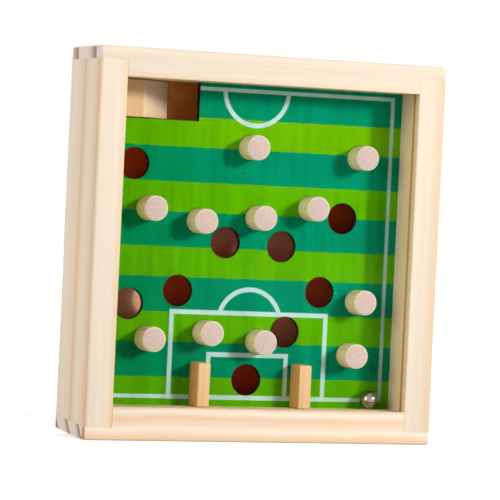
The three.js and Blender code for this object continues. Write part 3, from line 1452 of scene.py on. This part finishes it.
@dataclass
class Goal:
    """The two small posts that stand on the board against the bottom rail."""

    edge: float = 0.5 * MM
    wood: Tones = (srgb(240, 200, 150), srgb(214, 160, 100), srgb(226, 186, 138), srgb(190, 140, 92))
    left_side_shade: Colour = srgb(241, 213, 164)
    piths: tuple[tuple[str, float], ...] = (("goal_post_left", -34 * MM), ("goal_post_right", 3 * MM))
    pith_y: float = 4 * MM
    ring_width: float = 1.5 * MM

    def build(self) -> None:
        """Builds both posts."""
        for node, pith_x in self.piths:
            low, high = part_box(node)
            post = add_block(node + "_bar", low, high)
            ease_corners(post, self.edge, 3)
            shade(post, 50)
            # Painted shade: the posts' left faces are multiplied darker and warmer, on the side away from
            # the key lamp.
            side = FaceBands(Axis.X, -1, Axis.Y, low.y, high.y - low.y,
                             ((0, self.left_side_shade), (1, self.left_side_shade)), blend="MULTIPLY")
            wood = WoodFinish("beech_" + node, Axis.Z, (pith_x, self.pith_y), self.ring_width, self.wood,
                              wander=0.8 * MM, fineness=1.3, late_share=0.35, bands=(side,))
            fit(post, node, [wood.material()])


@dataclass
class ReturnRamp:
    """The block in the notch: a landing level with the board and a slope down to the panel."""

    landing: float = 10.3 * MM
    toe: float = 0.6 * MM
    edge: float = 0.2 * MM
    pith: tuple[float, float] = (-90 * MM, 30 * MM)
    ring_width: float = 6 * MM
    wood: Tones = (srgb(243, 213, 168), srgb(224, 178, 122), srgb(236, 208, 176), srgb(190, 150, 110))
    landing_tones: tuple[Colour, ...] = (srgb(226, 184, 132), srgb(232, 192, 142), srgb(226, 186, 136))
    slope_tones: tuple[Colour, ...] = (srgb(238, 208, 172), srgb(228, 197, 158))

    def build(self) -> None:
        """Models the block by slicing its slope off."""
        low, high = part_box("return_ramp")
        ramp = add_block("ramp_block", low, high)
        top = Vector((low.x + self.landing, low.y, low.z))
        foot = Vector((high.x, high.y - self.toe, low.z))
        slope = foot - top
        slice_off(ramp, top, Vector((slope.y, -slope.x, 0)))
        ease_corners(ramp, self.edge, 2, 20)
        shade(ramp)
        turn = self.landing / (high.x - low.x)
        places = (0, turn - 0.25, turn - 0.01, turn + 0.01, 1)
        planed = FaceBands(Axis.Y, -1, Axis.X, low.x, high.x - low.x,
                           tuple(zip(places, self.landing_tones + self.slope_tones)))
        wood = WoodFinish("pine_ramp", Axis.Z, self.pith, self.ring_width, self.wood, bands=(planed,))
        fit(ramp, "return_ramp", [wood.material()])


@dataclass
class Window:
    """The clear sheet in front of the board."""

    edge: float = 0.1 * MM

    def build(self) -> None:
        """Models the sheet with its edges scraped."""
        low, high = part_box("window")
        window = add_block("window_sheet", low, high)
        ease_corners(window, self.edge, 1)
        fit(window, "window", [AcrylicFinish().material()])


@dataclass
class BackPanel:
    """The brown hardboard that floors the lower level and closes the back."""

    edge: float = 0.2 * MM
    back_facing: float = 0.5

    def build(self) -> None:
        """Models the panel, smooth inside and mesh-marked outside."""
        low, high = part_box("back_panel")
        panel = add_block("panel_sheet", low, high)
        ease_corners(panel, self.edge, 2)
        number_faces(panel, lambda normal: int(normal.y > self.back_facing))
        shade(panel)
        finishes = (HardboardFinish("hardboard_face", False), HardboardFinish("hardboard_back", True))
        fit(panel, "back_panel", [finish.material() for finish in finishes])


@dataclass
class SteelBall:
    """The loose ball."""

    segments: int = 64
    rings: int = 48

    def build(self) -> None:
        """Models the ball at its place on the bottom rail."""
        low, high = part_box("steel_ball")
        deselect()
        bpy.ops.mesh.primitive_uv_sphere_add(
            segments=self.segments, ring_count=self.rings, radius=(high.z - low.z) / 2,
            location=(low + high) / 2
        )
        ball = bpy.context.object
        settle(ball)
        bpy.ops.object.shade_smooth()
        fit(ball, "steel_ball", [SteelFinish().material()])


@dataclass
class Lamp:
    """A soft panel lamp, placed by where it stands as seen from the front, in degrees."""

    name: str
    azimuth: float
    elevation: float
    strength: float
    width: float
    height: float
    distance: float = 3
    aim_height: float = 60 * MM

    def build(self) -> None:
        """Adds the lamp, turned to the object.

        Its power makes the object as bright as the strength says, whatever the distance.
        """
        deselect()
        azimuth, elevation = math.radians(self.azimuth), math.radians(self.elevation)
        toward = Vector((math.sin(azimuth) * math.cos(elevation),
                         -math.cos(azimuth) * math.cos(elevation), math.sin(elevation)))
        aim = Vector((0, 0, self.aim_height))
        bpy.ops.object.light_add(type="AREA", location=aim + self.distance * toward)
        lamp = bpy.context.object
        lamp.name = self.name
        lamp.rotation_euler = toward.to_track_quat("Z", "Y").to_euler()
        lamp.data.shape = "RECTANGLE"
        lamp.data.size = 2 * self.distance * math.tan(math.radians(self.width / 2))
        lamp.data.size_y = 2 * self.distance * math.tan(math.radians(self.height / 2))
        lamp.data.energy = 4 * self.strength * self.distance ** 2


@dataclass
class Studio:
    """The camera, lamps, pale floor and white surroundings."""

    camera_place: tuple[float, float, float] = (-0.397672, -0.932181, 0.077766)
    camera_aim: tuple[float, float, float] = (-0.0009, 0.0, 0.0611)
    camera_roll: float = 2.705
    focal_pixels: float = 3141.35
    image_pixels: float = 500
    clip: tuple[float, float] = (0.01, 20)
    ambient: float = 0.05
    floor_size: float = 6
    floor_grey: float = 0.62
    floor_glow: float = 0.66
    glow_near: float = 0.2
    glow_far: float = 0.9

    def add_camera(self) -> None:
        """Adds the camera at the photograph's view and makes it the scene's."""
        bpy.ops.object.camera_add(location=self.camera_place)
        camera = bpy.context.object
        camera.name = "photo_camera"
        sight = Vector(self.camera_aim) - Vector(self.camera_place)
        roll = Matrix.Rotation(math.radians(self.camera_roll), 3, "Z")
        camera.rotation_euler = (sight.to_track_quat("-Z", "Y").to_matrix() @ roll).to_euler()
        camera.data.lens = camera.data.sensor_width * self.focal_pixels / self.image_pixels
        camera.data.clip_start, camera.data.clip_end = self.clip
        bpy.context.scene.camera = camera

    def seen_rays(self, sheet: Sheet) -> Socket:
        """Finds the rays that show a surface to the camera, straight or by gloss or glass.

        Args:
            sheet: The material's or world's sheet.

        Returns:
            1 for those rays and 0 for the others.
        """
        ray = sheet.add("LightPath")
        gloss = sheet.maths("MAXIMUM", ray.outputs["Is Glossy Ray"], ray.outputs["Is Transmission Ray"])
        return sheet.maths("MAXIMUM", ray.outputs["Is Camera Ray"], gloss)

    def add_world(self) -> None:
        """Makes the surroundings white to the camera and a plain soft light to the object."""
        world = bpy.data.worlds.new("studio")
        bpy.context.scene.world = world
        sheet = blank_sheet(world)
        background = sheet.add("Background")
        strength = sheet.scaled(self.seen_rays(sheet), 1 - self.ambient, self.ambient)
        sheet.fill(background, Color=WHITE, Strength=strength)
        sheet.fill(sheet.add("OutputWorld"), Surface=background.outputs[0])

    def add_floor(self) -> None:
        """Adds the pale floor, which keeps the object's shadow."""
        deselect()
        bpy.ops.mesh.primitive_plane_add(size=self.floor_size, location=(0, 0, 0))
        floor = bpy.context.object
        floor.name = "floor"
        material = bpy.data.materials.new("pale_floor")
        sheet = blank_sheet(material)
        matt = sheet.add("BsdfDiffuse")
        sheet.fill(matt, Color=(*[self.floor_grey] * 3, 1.0))
        distance = sheet.add("VectorMath", operation="LENGTH")
        sheet.fill(distance, Vector=sheet.place())
        level = sheet.step(distance.outputs["Value"], self.glow_near, self.glow_far, self.floor_glow, 1)
        glow = sheet.add("Emission")
        sheet.fill(glow, Strength=sheet.times(self.seen_rays(sheet), level))
        both = sheet.add("AddShader")
        for socket, layer in zip(both.inputs, (matt, glow)):
            sheet.feed(socket, layer.outputs[0])
        sheet.fill(sheet.add("OutputMaterial"), Surface=both.outputs[0])
        floor.data.materials.append(material)

    def build(self) -> None:
        """Sets up everything that isn't part of the object."""
        bpy.context.scene.view_settings.view_transform = "Standard"
        self.add_camera()
        self.add_world()
        self.add_floor()
        lamps = (
            Lamp("key_core", 39.4, 18, 1.04, 4.5, 8),
            Lamp("key_halo", 39.4, 18, 1.15, 22, 13),
            Lamp("left_wall", -78, 12, 2.5, 60, 50),
            Lamp("back_lamp", 160, 40, 1.1, 30, 30),
        )
        for lamp in lamps:
            lamp.build()


def main() -> None:
    """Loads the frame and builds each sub-assembly in order."""
    logging.basicConfig(level=logging.INFO, format="%(name)s: %(message)s")
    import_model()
    build_effects()
    Studio().build()
    for part in (Frame(), PlayBoard(), Team(), Goal(), ReturnRamp(), BackPanel(), SteelBall(), Window()):
        part.build()
        log.info("%s is built", type(part).__name__)


if __name__ == "__main__":
    main()
